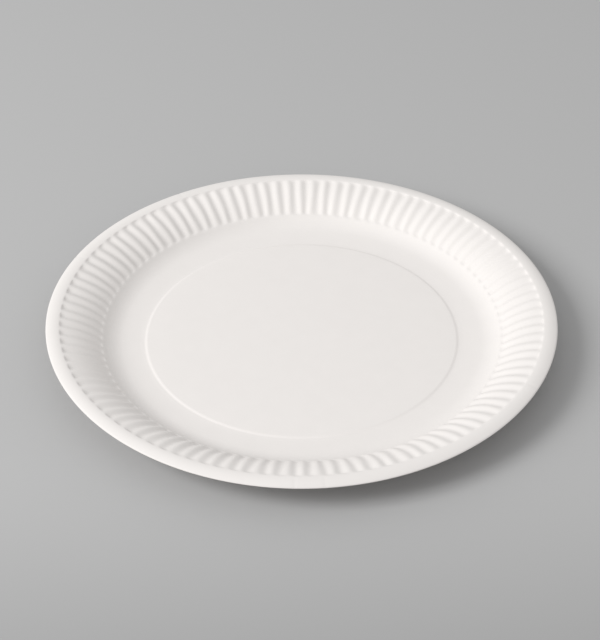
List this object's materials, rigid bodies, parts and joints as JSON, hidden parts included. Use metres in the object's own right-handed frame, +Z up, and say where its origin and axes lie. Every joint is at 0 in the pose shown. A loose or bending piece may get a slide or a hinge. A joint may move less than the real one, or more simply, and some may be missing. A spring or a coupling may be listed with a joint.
{
  "type": "paper plate",
  "caption": "Round disposable paper plate with a raised flat centre, a fluted wall and a smooth rolled brim, pressed from one sheet of white board.",
  "frame": {"origin": "centre of the plate, on the surface that it stands on", "axes": "+Z up along the plate's axis; the plate is the same all round, so +X and +Y are any two square directions in the table"},
  "size_m": [0.23, 0.23, 0.0149],
  "materials": {
    "paper_board": "uncoated white pressed paper board, matt, with a faint fibre texture"
  },
  "bodies": {
    "root": {"plate": "paper_board"}
  },
  "joints": []
}
